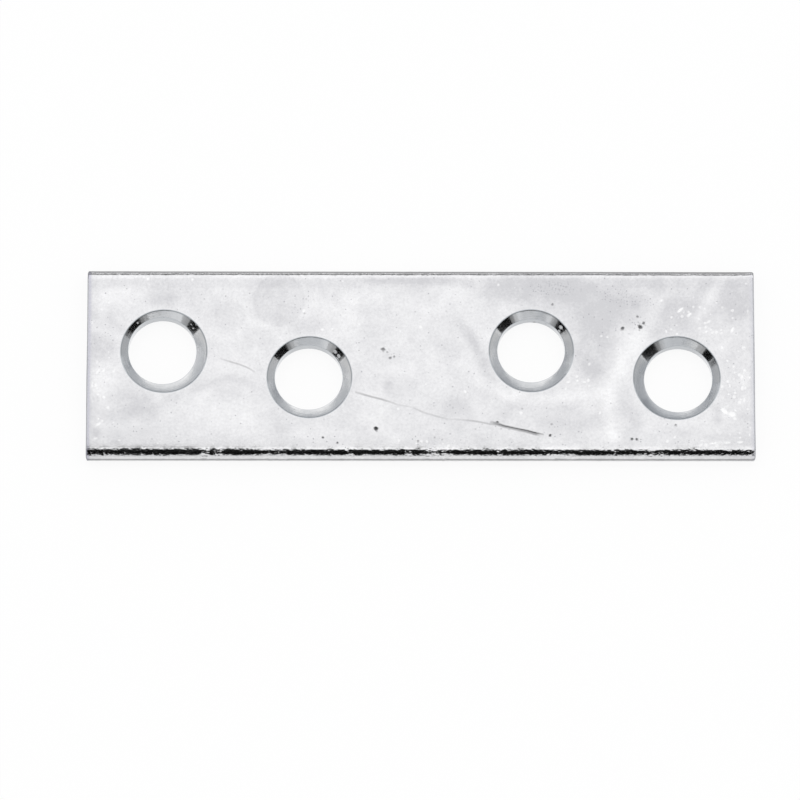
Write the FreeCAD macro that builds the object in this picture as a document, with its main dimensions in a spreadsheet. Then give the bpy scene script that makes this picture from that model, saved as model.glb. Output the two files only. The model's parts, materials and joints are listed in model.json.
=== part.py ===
"""A mending plate: one flat strip of zinc-plated steel with four staggered countersunk screw holes.

The strip is rolled with almost fully rounded long edges and cut off square at both ends.
The origin is at the centre of the underside, +X runs along the strip, and +Z points out of the
countersunk face. All lengths are in millimetres.
"""
import FreeCAD, Part
import os
import Sketcher

NODE = "mending_plate"

# How a sketch numbers its two axes, its origin, and the points of a line, an arc or a circle
X_AXIS, Y_AXIS = range(-1, -3, -1)
START, END, CENTRE = range(1, 4)
ORIGIN = (X_AXIS, START)

# Every driving size, in millimetres and degrees
SIZES = {
    "plate_length": 60.0,
    "plate_width": 17.5,
    "plate_thickness": 2.0,
    "long_edge_radius": 0.9,
    "cut_edge_radius": 0.2,
    "end_to_outer_hole": 7.0,
    "outer_to_inner_hole": 13.0,
    "stagger": 2.5,
    "hole_diameter": 6.0,
    "countersink_depth": 0.85,
    "countersink_angle": 90.0,
}

# A rounding keeps clear of the wall it sits in, so that a thin plate still has a flat between two
EDGE_RADIUS = "min(sizes.long_edge_radius; 0.48 * sizes.plate_thickness)"
CUT_RADIUS = f"min(sizes.cut_edge_radius; 0.5 * {EDGE_RADIUS})"


def make_sheet(doc):
    """List the driving sizes, one row each, for every length and angle below to follow."""
    sheet = doc.addObject("Spreadsheet::Sheet", "sizes")
    for row, (name, value) in enumerate(SIZES.items(), start=1):
        sheet.set(f"A{row}", name)
        sheet.set(f"B{row}", str(value))
        sheet.setAlias(f"B{row}", name)
    doc.recompute()
    return sheet


def origin_feature(body, role):
    return next(item for item in body.Origin.OriginFeatures if item.Role == role)


def new_sketch(body, name, plane):
    sketch = body.newObject("Sketcher::SketchObject", name)
    sketch.AttachmentSupport = [(origin_feature(body, plane), "")]
    sketch.MapMode = "FlatFace"
    return sketch


def bind_constraint(sketch, constraint, name, expression):
    """Add a named dimension to a sketch and let it follow the driving sizes."""
    index = sketch.addConstraint(constraint)
    sketch.renameConstraint(index, name)
    sketch.setExpression(f"Constraints.{name}", expression)


def strip_section(body):
    """The rolled strip's section across its length: a flat bar with four rounded corners."""
    half = SIZES["plate_width"] / 2
    height = SIZES["plate_thickness"]
    radius = SIZES["long_edge_radius"]
    sketch = new_sketch(body, "strip_section", "YZ_Plane")

    def point(y, z):
        return FreeCAD.Vector(y, z, 0)

    flats = [
        Part.LineSegment(point(radius - half, 0), point(half - radius, 0)),
        Part.LineSegment(point(half, radius), point(half, height - radius)),
        Part.LineSegment(point(half - radius, height), point(radius - half, height)),
        Part.LineSegment(point(-half, height - radius), point(-half, radius)),
    ]
    diagonal = radius * (1 - 0.5 ** 0.5)
    middles = [
        point(half - diagonal, diagonal),
        point(half - diagonal, height - diagonal),
        point(diagonal - half, height - diagonal),
        point(diagonal - half, diagonal),
    ]
    for turn, flat in enumerate(flats):
        following = flats[(turn + 1) % len(flats)]
        sketch.addGeometry(flat, False)
        sketch.addGeometry(Part.Arc(flat.EndPoint, middles[turn], following.StartPoint), False)

    underside, right_side, face, left_side = 0, 2, 4, 6
    count = 2 * len(flats)
    for flat in (underside, right_side, face, left_side):
        corner = flat + 1
        sketch.addConstraint(Sketcher.Constraint("Tangent", flat, END, corner, START))
        sketch.addConstraint(Sketcher.Constraint("Tangent", corner, END, (flat + 2) % count, START))
    for corner in (right_side + 1, face + 1, left_side + 1):
        sketch.addConstraint(Sketcher.Constraint("Equal", underside + 1, corner))
    sketch.addConstraint(Sketcher.Constraint("Horizontal", face))
    sketch.addConstraint(Sketcher.Constraint("Vertical", left_side))
    sketch.addConstraint(Sketcher.Constraint("Vertical", right_side))
    sketch.addConstraint(Sketcher.Constraint("PointOnObject", underside, START, X_AXIS))
    sketch.addConstraint(Sketcher.Constraint("Symmetric", underside, START, underside, END, Y_AXIS))
    bind_constraint(
        sketch,
        Sketcher.Constraint("DistanceX", left_side, START, right_side, END, 2 * half),
        "across",
        "sizes.plate_width",
    )
    bind_constraint(
        sketch,
        Sketcher.Constraint("DistanceY", underside, START, face, END, height),
        "through",
        "sizes.plate_thickness",
    )
    bind_constraint(
        sketch,
        Sketcher.Constraint("Radius", underside + 1, radius),
        "rounding",
        EDGE_RADIUS,
    )
    return sketch


def rolled_strip(body):
    """The section carried along the plate's length, the same way to both sides of the middle."""
    strip = body.newObject("PartDesign::Pad", "rolled_strip")
    strip.Profile = strip_section(body)
    strip.SideType = "Symmetric"
    strip.setExpression("Length", "sizes.plate_length")
    body.Document.recompute()
    return strip


def cut_edges(shape):
    """Names of the edges that outline the two cut ends: those that don't run along the strip."""
    reach = shape.BoundBox.XMax
    numbered = enumerate(shape.Edges, start=1)
    return [f"Edge{number}" for number, edge in numbered if edge.BoundBox.XLength < reach]


def broken_ends(body, strip):
    """Both ends lose their sharp edge all round, as a plate does that is tumbled and then plated."""
    ends = body.newObject("PartDesign::Fillet", "broken_ends")
    ends.Base = (strip, cut_edges(strip.Shape))
    ends.setExpression("Radius", CUT_RADIUS)
    body.Document.recompute()
    return ends


def left_hole_places(body):
    """Centres of the two holes left of the middle, one above the centre line and one below it."""
    sketch = new_sketch(body, "left_hole_places", "XY_Plane")
    sketch.setExpression("AttachmentOffset.Base.z", "sizes.plate_thickness")
    outer_x = SIZES["end_to_outer_hole"] - SIZES["plate_length"] / 2
    inner_x = outer_x + SIZES["outer_to_inner_hole"]
    offset = SIZES["stagger"] / 2
    radius = SIZES["hole_diameter"] / 2
    normal = FreeCAD.Vector(0, 0, 1)
    outer = sketch.addGeometry(Part.Circle(FreeCAD.Vector(outer_x, offset, 0), normal, radius), False)
    inner = sketch.addGeometry(Part.Circle(FreeCAD.Vector(inner_x, -offset, 0), normal, radius), False)
    bind_constraint(
        sketch,
        Sketcher.Constraint("Diameter", outer, 2 * radius),
        "bore",
        "sizes.hole_diameter",
    )
    sketch.addConstraint(Sketcher.Constraint("Equal", outer, inner))
    bind_constraint(
        sketch,
        Sketcher.Constraint("DistanceX", outer, CENTRE, *ORIGIN, -outer_x),
        "outer_from_middle",
        "sizes.plate_length / 2 - sizes.end_to_outer_hole",
    )
    bind_constraint(
        sketch,
        Sketcher.Constraint("DistanceX", outer, CENTRE, inner, CENTRE, inner_x - outer_x),
        "pitch",
        "sizes.outer_to_inner_hole",
    )
    bind_constraint(
        sketch,
        Sketcher.Constraint("DistanceY", *ORIGIN, outer, CENTRE, offset),
        "outer_offset",
        "sizes.stagger / 2",
    )
    bind_constraint(
        sketch,
        Sketcher.Constraint("DistanceY", inner, CENTRE, *ORIGIN, offset),
        "inner_offset",
        "sizes.stagger / 2",
    )
    return sketch


def countersunk_holes(body):
    """The left pair of holes, each a through bore with a cone for a flat screw head."""
    places = left_hole_places(body)
    body.Document.recompute()
    holes = body.newObject("PartDesign::Hole", "countersunk_holes")
    holes.Profile = places
    holes.DepthType = "ThroughAll"
    holes.DrillPoint = "Flat"
    holes.HoleCutType = "Countersink"
    holes.HoleCutCustomValues = True
    holes.setExpression("Diameter", "sizes.hole_diameter")
    holes.setExpression("HoleCutCountersinkAngle", "sizes.countersink_angle")
    holes.setExpression(
        "HoleCutDiameter",
        "sizes.hole_diameter + 2 * sizes.countersink_depth * tan(sizes.countersink_angle / 2)",
    )
    body.Document.recompute()
    return holes


def both_pairs(body, holes):
    """The right pair is the left one turned half a turn about the plate's own middle."""
    pairs = body.newObject("PartDesign::PolarPattern", "both_pairs")
    pairs.Originals = [holes]
    pairs.Axis = (origin_feature(body, "Z_Axis"), [""])
    pairs.Angle = 360
    pairs.Occurrences = 2
    body.Tip = pairs
    body.Document.recompute()
    return pairs


def make_plate(doc):
    body = doc.addObject("PartDesign::Body", NODE)
    body.Label = NODE
    body.Placement = FreeCAD.Placement()
    strip = rolled_strip(body)
    broken_ends(body, strip)
    holes = countersunk_holes(body)
    both_pairs(body, holes)
    return body


def check_document(doc):
    """Stop unless every object has been worked out without a fault."""
    for item in doc.Objects:
        faults = {"Invalid", "Error"}.intersection(item.State)
        if faults:
            raise RuntimeError(f"{item.Name} is {sorted(faults)}")


def check_cuts(body):
    """Stop unless each feature changed the solid, since one that points away cuts nothing."""
    stages = [item for item in body.Group if hasattr(item, "AddSubShape") or item == body.Tip]
    volumes = [stage.Shape.Volume for stage in stages]
    for stage, before, after in zip(stages[1:], volumes, volumes[1:]):
        if not after < before:
            raise RuntimeError(f"{stage.Name} cut nothing")


def write_part(body):
    shape = body.Shape
    if shape.isNull() or not shape.isValid() or len(shape.Solids) != 1:
        raise RuntimeError(f"{body.Label} is not one valid solid")
    shape.exportStep(os.path.join("parts", body.Label + ".step"))
    box = shape.optimalBoundingBox(False, False)
    print(f"{body.Label}: {box.XLength:.3f} x {box.YLength:.3f} x {box.ZLength:.3f} mm,"
          f" {shape.Volume:.2f} mm3, {len(shape.Faces)} faces")


os.makedirs("parts", exist_ok=True)
doc = FreeCAD.newDocument("mending_plate_model")
make_sheet(doc)
plate = make_plate(doc)
doc.recompute()
check_document(doc)
check_cuts(plate)
write_part(plate)
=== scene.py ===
# %% [markdown]
# # A mending plate in bright zinc
#
# The object is a mending plate: a short piece of rolled steel strip with four countersunk screw
# holes, cut off at both ends and zinc plated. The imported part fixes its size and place. This script
# adds what the solid leaves out: the worn roundings of its edges, the marks on its face and its
# finish. Then it sets up the small studio in which bright metal looks like metal.

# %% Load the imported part
import json
import math
import bmesh
import bpy
import numpy as np
from mathutils import Matrix, Vector, noise
from mathutils.geometry import delaunay_2d_cdt


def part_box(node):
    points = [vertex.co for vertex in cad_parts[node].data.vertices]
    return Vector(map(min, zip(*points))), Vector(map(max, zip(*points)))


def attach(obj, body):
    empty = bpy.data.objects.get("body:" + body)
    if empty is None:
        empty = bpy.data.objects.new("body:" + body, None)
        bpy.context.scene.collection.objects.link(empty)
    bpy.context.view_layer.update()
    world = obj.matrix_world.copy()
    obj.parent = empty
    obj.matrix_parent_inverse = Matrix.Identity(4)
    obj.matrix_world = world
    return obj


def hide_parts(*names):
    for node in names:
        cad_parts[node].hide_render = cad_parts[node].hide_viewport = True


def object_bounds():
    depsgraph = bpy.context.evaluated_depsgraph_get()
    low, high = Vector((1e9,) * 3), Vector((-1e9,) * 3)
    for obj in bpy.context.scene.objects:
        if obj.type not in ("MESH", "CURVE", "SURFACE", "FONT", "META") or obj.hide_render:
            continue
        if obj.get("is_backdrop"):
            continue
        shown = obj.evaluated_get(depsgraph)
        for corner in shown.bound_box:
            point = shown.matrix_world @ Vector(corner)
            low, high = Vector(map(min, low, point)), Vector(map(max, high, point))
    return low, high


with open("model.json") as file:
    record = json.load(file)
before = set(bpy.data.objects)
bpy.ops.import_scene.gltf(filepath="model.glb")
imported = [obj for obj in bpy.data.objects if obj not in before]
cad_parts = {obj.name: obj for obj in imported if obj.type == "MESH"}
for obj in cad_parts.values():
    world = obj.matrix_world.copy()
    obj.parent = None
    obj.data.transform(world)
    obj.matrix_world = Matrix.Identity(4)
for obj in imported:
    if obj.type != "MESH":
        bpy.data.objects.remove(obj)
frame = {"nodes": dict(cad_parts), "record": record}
cad_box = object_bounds()
print("Packed nodes:", sorted(frame["nodes"]))

# %% [markdown]
# ## Sizes
#
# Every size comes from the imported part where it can: the box gives length, width and thickness, and
# the four bores give where the holes are, how wide they are and where the cone begins. Lengths in
# this script are millimetres, because that is how a maker thinks of a small plate, and they are
# turned into metres once, when the mesh is made.

# %% Plate and hole sizes
MM = 0.001
_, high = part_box("mending_plate")
HALF_LENGTH, HALF_WIDTH, THICKNESS = (round(side / MM, 3) for side in high)
EDGE_RADIUS = 0.9
CUT_RADIUS = 0.2

bores = [mount for mount in frame["record"]["mounts"] if mount["kind"] == "bore"]
HOLES = [(mount["pos_m"][0] / MM, mount["pos_m"][1] / MM) for mount in bores]
BORE_RADIUS = bores[0]["dims"]["r_mm"]
THROAT_HEIGHT = bores[0]["dims"]["length_mm"]
CONE_RADIUS = BORE_RADIUS + THICKNESS - THROAT_HEIGHT
print(f"Plate {2 * HALF_LENGTH} x {2 * HALF_WIDTH} x {THICKNESS} mm, {len(HOLES)} holes,"
      f" bore {2 * BORE_RADIUS} mm, cone {2 * CONE_RADIUS:.2f} mm across")

# %% [markdown]
# ## Marks on the face
#
# A plate that has been tumbled in a plating drum with a few hundred others is never clean. Its face
# has one long scratch that ends in a gouge, a shorter one, some small dark pits, bright dents near
# one end, and clouds where the plating came out duller. Noise alone can't put one scratch where it
# belongs, so these are tables of places, which shape the mesh and tint the finish alike.

# %% Scratches, as a line of places with a strength at each
SCRATCHES = {
    "long": (0.07, 0.03, [
        (-5.77, -2.68, 0.2), (-4.94, -2.94, 0.5), (-4.2, -3.14, 0.5), (-3.44, -3.34, 0.5),
        (-2.85, -3.52, 0.3), (-2.02, -3.84, 0.12), (-0.75, -4.05, 0.06), (0.00, -4.42, 0.2),
        (0.74, -4.69, 0.15), (1.49, -4.9, 0.25), (2.38, -5.14, 0.05), (3.28, -5.17, 0.1),
        (4.77, -5.32, 0.32), (5.37, -5.42, 0.34), (6.2, -5.6, 0.3), (6.86, -5.65, 0.5),
        (7.46, -5.8, 0.85), (8.21, -5.96, 0.8), (8.96, -6.12, 0.75), (9.56, -6.22, 0.85),
        (10.23, -6.41, 0.95), (10.97, -6.55, 0.3),
    ]),
    "gouge": (0.12, 0.034, [
        (6.35, -5.44, 0.3), (6.85, -5.58, 0.85), (7.5, -5.8, 0.6), (8.5, -6.04, 0.65),
        (9.5, -6.26, 0.8), (10.3, -6.48, 0.85), (10.7, -6.58, 0.1),
    ]),
    "short": (0.06, 0.016, [
        (-17.86, 0.38, 0.1), (-16.96, 0.11, 0.35), (-16.15, -0.14, 0.35), (-15.52, -0.4, 0.35),
        (-14.89, -0.77, 0.1),
    ]),
}
print("Scratches:", ", ".join(SCRATCHES))

# %% Pits, as x, y, radius and strength
PITS = [
    (-3.97, -6.05, 0.175, 1.0), (-8.73, -6.85, 0.11, 0.8), (-7.57, -6.16, 0.07, 0.25),
    (-7.43, -7.35, 0.09, 0.6), (18.9, -7.01, 0.12, 0.8), (19.34, -7.01, 0.12, 0.8),
    (11.85, 5.45, 0.11, 0.6), (-3.33, 1.32, 0.17, 0.75), (-2.97, 1.04, 0.08, 0.5),
    (-2.71, 0.49, 0.12, 0.7), (-2.35, 0.62, 0.11, 0.7), (18.16, 3.27, 0.16, 0.9),
    (19.7, 3.36, 0.19, 1.0), (20.05, 3.72, 0.13, 0.9), (19.48, 4.34, 0.12, 0.7),
    (11.6, -6.68, 0.13, 0.8), (11.71, -5.62, 0.09, 0.4), (6.88, -5.44, 0.13, 0.7),
    (9.11, -4.18, 0.08, 0.3), (10.28, -4.29, 0.07, 0.25), (4.93, -6.06, 0.07, 0.2),
    (22.84, -5.68, 0.11, 0.5), (-10.43, 4.6, 0.08, 0.35), (-10.26, 5.95, 0.08, 0.25),
    (-9.08, 3.72, 0.06, 0.3), (2.32, 4.84, 0.06, 0.25), (14.96, 0.31, 0.07, 0.3),
    (1.27, -6.84, 0.08, 0.3), (1.94, -7.02, 0.09, 0.35), (-0.22, -7.2, 0.09, 0.4),
    (-7.7, 5.3, 0.06, 0.25), (17.95, 5.3, 0.06, 0.35), (-17.0, -5.2, 0.06, 0.2),
]
print("Pits:", len(PITS))

# %% Fields of small specks, as x, y, half sizes, lean and how many of their cells hold one
SPECK_FIELDS = [
    (12.0, 6.95, 2.6, 0.8, -4, 0.7), (18.3, 6.0, 3.0, 0.9, -16, 0.5), (-2.6, 0.9, 1.0, 0.6, -20, 0.35),
    (19.4, 3.9, 1.2, 0.7, 20, 0.45), (0.8, -7.1, 3.0, 0.5, 0, 0.3), (3.8, -4.4, 2.4, 0.8, -15, 0.22),
    (-9.5, -7.2, 4.0, 0.5, 0, 0.18), (19.1, -7.0, 0.8, 0.3, 0, 0.4), (11.9, -5.6, 1.4, 1.4, 0, 0.2),
    (-27.8, 3.2, 1.6, 1.0, 0, 0.25), (-26.0, -6.2, 3.0, 1.2, 0, 0.2), (-10.5, 5.4, 1.0, 1.6, 0, 0.22),
]
GLINT_FIELDS = [
    (-28.4, -2.6, 1.2, 4.6, 0, 0.3), (28.4, -3.4, 1.3, 4.4, 0, 0.4), (25.4, 4.2, 3.8, 2.2, 20, 0.25),
    (1.0, -7.2, 3.6, 0.5, 0, 0.35), (26.5, -7.2, 2.8, 0.5, 0, 0.35), (14.5, -1.8, 2.4, 0.8, 0, 0.2),
]
print("Speck fields:", len(SPECK_FIELDS), "glint fields:", len(GLINT_FIELDS))

# %% Rough patches of the long edges, as x, half length and roughness, and where they swell
EDGE_PATCHES = [
    (-19.2, 0.35, 2.4), (-18.05, 0.35, 2.0), (-12.9, 1.2, 1.0), (-6.25, 0.3, 1.2), (-1.1, 0.4, 1.3),
    (1.5, 1.3, 1.7), (7.1, 0.3, 1.0), (12.5, 1.5, 0.9), (20.6, 1.5, 1.2), (29.6, 0.5, 1.2),
]
EDGE_SWELLS = [(-24.0, 4.0, 0.3), (15.6, 1.4, -0.9), (18.1, 1.3, 0.3), (25.5, 3.2, 0.9), (29.7, 0.8, -1.5)]
print("Rough patches:", len(EDGE_PATCHES), "swells:", len(EDGE_SWELLS))

# %% Chips and burrs in the holes, as x, y, height, radius, depth and painted shade
HOLE_CHIPS = [
    (-25.43, 3.81, 1.68, 0.14, 0.04, 0.0), (-25.65, 3.41, 1.57, 0.06, 0.015, 0.0),
    (-20.52, 3.69, 1.62, 0.14, 0.03, 0.0), (-20.4, 3.35, 1.5, 0.13, 0.03, 0.0),
    (-20.07, 3.6, 1.9, 0.14, 0.03, 0.0), (-7.63, 1.15, 1.52, 0.2, 0.04, 0.0),
    (-7.34, 0.8, 1.5, 0.17, 0.04, 0.0), (-7.5, 0.6, 1.3, 0.12, 0.03, 0.0),
    (12.66, 3.46, 1.61, 0.25, 0.04, 0.0), (12.5, 3.16, 1.35, 0.16, 0.025, 0.0),
    (20.54, 1.29, 1.68, 0.07, 0.01, 0.0), (10.24, 4.24, 0.35, 0.13, 0.01, 1.0),
    (11.27, 3.97, 0.9, 0.12, 0.01, 0.9), (10.7, 4.2, 0.6, 0.07, 0.005, 0.6),
]
print("Chips and burrs:", len(HOLE_CHIPS))

# %% Painted light and shade round each hole's cone, as hole, degrees clockwise from the back, half angle and shift
RING_SHADING_TABLE = [
    (0, 105, 50, 1.0), (0, -138, 25, 0.9), (0, -85, 35, -0.8), (0, 5, 40, -0.5), (1, 110, 50, 1.0),
    (1, -145, 25, 0.9), (1, -90, 30, -0.5), (1, 0, 35, -1.0), (2, 180, 30, -0.3), (2, -110, 30, 0.4),
    (2, 25, 20, -0.4), (2, 85, 20, -0.4), (2, 150, 25, 0.5), (2, 0, 28, -0.75), (3, 175, 20, -0.3),
    (3, -155, 35, -1.0), (3, -65, 15, -0.5), (3, 0, 32, -1.0), (3, 75, 25, -0.7), (3, 145, 30, 0.6),
    (3, -105, 20, -0.2), (2, -150, 15, -0.4), (3, -135, 18, -0.5), (3, 106, 14, -0.5),
    (2, 118, 16, 0.5), (1, 148, 25, 0.5),
]
print("Tones round the holes:", len(RING_SHADING_TABLE))

# %% Dents with a painted highlight, as x, y, length, width, lean in degrees and strength
DENTS = [
    (21.64, 5.83, 0.28, 0.21, 20, 0.7), (23.34, 4.95, 0.69, 0.25, 40, 1.0),
    (24.15, 4.53, 0.5, 0.25, 40, 0.9), (25.89, 3.88, 0.56, 0.21, 35, 0.7),
    (27.99, 3.1, 0.56, 0.25, 60, 0.8), (29.26, 7.4, 0.25, 0.18, 10, 0.6),
    (29.4, 4.86, 0.31, 0.18, 80, 0.5), (25.66, 2.96, 0.31, 0.18, 30, 0.6),
    (26.2, 2.86, 0.31, 0.18, 30, 0.6), (27.00, 2.82, 0.31, 0.18, 30, 0.5),
    (28.8, -1.25, 0.44, 0.25, 80, 0.7), (28.83, -2.26, 0.5, 0.25, 85, 0.7),
    (29.00, -3.37, 0.38, 0.21, 85, 0.6), (29.3, -4.2, 0.25, 0.18, 0, 0.5),
    (27.22, -4.4, 0.85, 0.38, -38, 1.0), (27.88, -4.68, 0.75, 0.5, -15, 1.0),
    (26.18, -7.33, 0.69, 0.21, 5, 0.8), (27.43, -7.28, 0.56, 0.21, 0, 0.8),
    (28.59, -7.23, 0.56, 0.21, 5, 0.8), (25.11, -7.42, 0.38, 0.18, 0, 0.6),
    (22.07, -7.15, 0.28, 0.25, 45, 0.8), (22.74, -6.78, 0.28, 0.21, 45, 0.7),
    (13.25, -1.72, 0.38, 0.21, 10, 0.7), (14.05, -1.58, 0.31, 0.21, 0, 0.6),
    (14.68, -1.72, 0.31, 0.21, -10, 0.6), (15.14, -0.06, 0.31, 0.21, 60, 0.6),
    (16.23, 2.53, 0.25, 0.21, 20, 0.6), (16.77, 2.44, 0.25, 0.21, 0, 0.5),
    (-29.00, 0.1, 0.31, 0.18, 70, 0.5), (-28.96, -0.83, 0.38, 0.21, 50, 0.6),
    (-29.1, -2.03, 0.38, 0.21, 80, 0.6), (-28.82, -5.62, 0.5, 0.25, 30, 0.7),
    (-29.07, -6.91, 0.38, 0.21, 10, 0.6), (-26.93, -7.09, 0.25, 0.18, 0, 0.5),
    (-8.81, 3.12, 0.25, 0.25, 0, 0.7), (-7.91, 3.17, 0.2, 0.18, 0, 0.6),
    (-28.63, 5.01, 0.22, 0.18, 30, 0.5), (-1.81, 2.98, 0.2, 0.21, 0, 0.5),
]
print("Bright dents:", len(DENTS))

# %% [markdown]
# ### Clouds in the plating
#
# Zinc grows unevenly where a plate lay against its neighbours or where the rinse water dried, which
# leaves soft patches a little duller or brighter than the rest. Each cloud below is an ellipse with
# a soft edge: its centre, its two half sizes, its lean in degrees, and how far it shifts the tone,
# where a minus makes it duller. The two round stains have a darker border, like any dried drop.

# %% Clouds and dried drops
CLOUDS = [
    (-26.6, 6.3, 2.8, 1.1, 0, 0.5), (-22.4, 6.6, 2.4, 0.9, 0, -0.35), (-23.2, 5.8, 1.8, 0.7, 0, -0.5),
    (-28.5, 1.5, 1.5, 1.3, 0, -0.85), (-28.5, -1.9, 1.3, 1.7, 0, 0.4), (2.7, -5.3, 4.0, 2.0, 0, -0.35),
    (4.5, 2.2, 2.4, 0.5, -58, -0.5), (-25.4, -3.7, 2.8, 1.3, -15, -0.6),
    (-26.6, -4.7, 2.8, 0.8, 0, -0.6), (-26.0, -6.6, 3.2, 0.8, 0, -0.35), (-17.2, -4.8, 3.2, 2.2, 0, 0.35),
    (-12.2, -5.6, 1.2, 0.9, 0, -0.3), (-9.6, -6.4, 1.8, 0.7, 0, 0.4), (-14.8, 2.4, 1.3, 1.0, 0, -0.4),
    (-9.8, 3.5, 2.1, 0.9, 0, -0.8), (-8.7, 7.0, 0.5, 0.8, 0, -0.4), (-6.4, 4.8, 0.9, 2.2, 0, 0.35),
    (-3.8, 3.6, 1.4, 1.4, 0, -0.35), (-2.6, 7.7, 3.0, 0.45, 0, -0.9), (1.4, 7.7, 2.4, 0.5, 0, -1.0),
    (-2.9, -2.2, 0.6, 0.7, 0, -0.6), (-1.6, -0.6, 1.6, 0.9, 0, 0.4), (2.2, 5.6, 2.6, 1.4, 0, 0.25),
    (6.3, 6.6, 1.4, 1.2, 0, -0.4), (10.8, 7.0, 5.0, 1.6, 0, -1.3), (15.0, 5.2, 3.6, 2.3, -25, -1.0),
    (15.4, 1.6, 2.2, 3.4, 8, -0.9), (15.4, -0.6, 1.1, 1.1, 0, -0.7), (22.0, 5.6, 8.5, 3.6, 0, -0.8),
    (22.6, 4.6, 1.9, 1.6, 30, -0.5), (28.4, 5.9, 1.6, 2.4, 0, -0.7), (28.3, -0.6, 1.2, 3.2, 8, 0.1),
    (29.1, -1.5, 0.5, 0.8, 0, 0.5), (26.6, -5.0, 0.5, 0.8, 0, -0.8), (26.8, -6.8, 1.4, 0.4, 0, -0.7),
    (23.0, -6.3, 2.8, 0.8, 0, -0.35), (13.2, -5.2, 2.8, 1.2, -5, -0.5), (2.8, 1.2, 1.8, 1.1, 0, -0.25),
    (3.2, -3.9, 1.4, 0.9, -15, -0.35), (17.2, -6.4, 0.7, 1.0, 0, 0.4), (17.8, 5.4, 0.9, 0.5, 0, -0.8),
    (19.3, 5.4, 0.4, 0.4, 0, -0.9), (-29.0, -6.4, 0.5, 0.5, 0, -0.8), (-27.3, -7.3, 0.5, 0.25, 0, -0.7),
]
DRIED_DROPS = [(-12.7, 5.85, 2.3, 2.4, 0.65), (-17.1, 4.35, 1.35, 1.4, 0.5)]
print("Clouds:", len(CLOUDS), "dried drops:", len(DRIED_DROPS))

# %% Flow marks, as a line of places with a half width and a shift at each
FLOW_MARKS = [
    [(-23.0, -3.4, 0.81, -0.39), (-20.2, -2.5, 0.68, -0.47), (-18.4, -1.6, 0.61, -0.55),
     (-17.0, -1.3, 0.61, -0.55), (-15.2, -1.9, 0.68, -0.47), (-14.0, -2.8, 0.81, -0.55),
     (-13.0, -4.0, 0.68, -0.39)],
    [(3.4, 4.0, 0.81, -0.31), (4.4, 2.7, 1.08, -0.78), (5.2, 1.1, 1.08, -0.78), (5.8, -0.4, 1.08, -0.62),
     (6.8, -1.8, 0.68, -0.31)],
    [(4.2, 0.6, 0.94, 0.23), (5.2, -1.4, 0.94, 0.39), (7.6, -3.0, 0.94, 0.47), (11.0, -3.2, 0.94, 0.47),
     (16.0, -2.9, 0.94, 0.39)],
    [(4.6, -2.3, 0.68, -0.23), (8.0, -3.9, 0.68, -0.31), (11.0, -4.1, 0.68, -0.31),
     (14.0, -4.0, 0.68, -0.23)],
    [(21.6, 6.0, 0.94, 0.47), (20.4, 4.0, 1.49, 0.62), (18.8, 1.4, 2.03, 0.7), (17.2, -1.4, 1.62, 0.62),
     (16.9, -4.2, 1.08, 0.39), (17.2, -7.0, 1.08, 0.39)],
    [(18.0, -2.2, 1.22, -0.62), (18.4, -4.2, 1.49, -0.78), (19.2, -5.6, 1.22, -0.7),
     (18.8, -7.3, 1.08, -0.47)],
    [(26.0, 8.0, 0.94, -0.47), (24.6, 5.6, 0.94, -0.47), (23.6, 3.4, 0.94, -0.39)],
    [(27.2, 7.8, 0.68, 0.47), (25.7, 5.6, 0.94, 0.62), (24.9, 4.2, 0.68, 0.47)],
    [(26.4, -4.1, 0.54, -0.62), (28.0, -4.7, 0.47, -0.78), (29.8, -5.1, 0.61, -0.78)],
    [(-29.6, 4.6, 0.68, -0.39), (-28.0, 4.0, 0.81, -0.47), (-26.8, 3.2, 0.54, -0.31)],
    [(-29.6, 3.3, 0.54, 0.47), (-28.2, 2.7, 0.54, 0.47), (-27.2, 2.4, 0.54, 0.23)],
    [(-15.4, 4.0, 0.81, 0.39), (-14.0, 3.4, 0.81, 0.39), (-12.4, 3.2, 0.81, 0.31),
     (-10.4, 4.6, 0.81, 0.31)],
]
print("Flow marks:", len(FLOW_MARKS))

# %% [markdown]
# ## How far a place is from a mark
#
# The same measure is used twice: to put more mesh points near a mark, and later to press the mark
# into the surface. It works on whole columns of points at once with numpy, which takes a fraction
# of the time that a loop over every point would.

# %% Distance to a line of places
def along_line(points, line):
    """For each point: its distance to the line, and the line's other columns at the nearest place."""
    line = np.array(line, float)
    nearest = np.full(len(points), np.inf)
    carried = np.zeros((len(points), line.shape[1] - 2))
    for start, end in zip(line[:-1], line[1:]):
        run = end[:2] - start[:2]
        share = np.clip((points - start[:2]) @ run / (run @ run), 0, 1)
        gap = np.hypot(*(points - start[:2] - share[:, None] * run).T)
        closer = gap < nearest
        nearest[closer] = gap[closer]
        between = start[2:] + share[:, None] * (end[2:] - start[2:])
        carried[closer] = between[closer]
    return nearest, carried


print("From (1, 2) to a level line:", along_line(np.array([[1, 2]]), [(0, 0), (3, 0)])[0], "mm")

# %% Distance to a leaning ellipse and to one place
def inside_ellipse(points, x, y, half_long, half_short, lean):
    """0 at the ellipse's middle, 1 on its edge, and more outside."""
    turn = math.radians(lean)
    across = (points[:, 0] - x) * math.cos(turn) + (points[:, 1] - y) * math.sin(turn)
    up = (points[:, 1] - y) * math.cos(turn) - (points[:, 0] - x) * math.sin(turn)
    return np.hypot(across / half_long, up / half_short)


def from_place(points, x, y):
    return np.hypot(points[:, 0] - x, points[:, 1] - y)


def soft_step(value, start, end):
    """0 up to start, 1 from end on, and a smooth rise between, also where end is below start."""
    share = np.clip((value - start) / (end - start), 0, 1)
    return share * share * (3 - 2 * share)


print("A smooth step at a quarter and a half:", soft_step(np.array([0.25, 0.5]), 0, 1))

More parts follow.
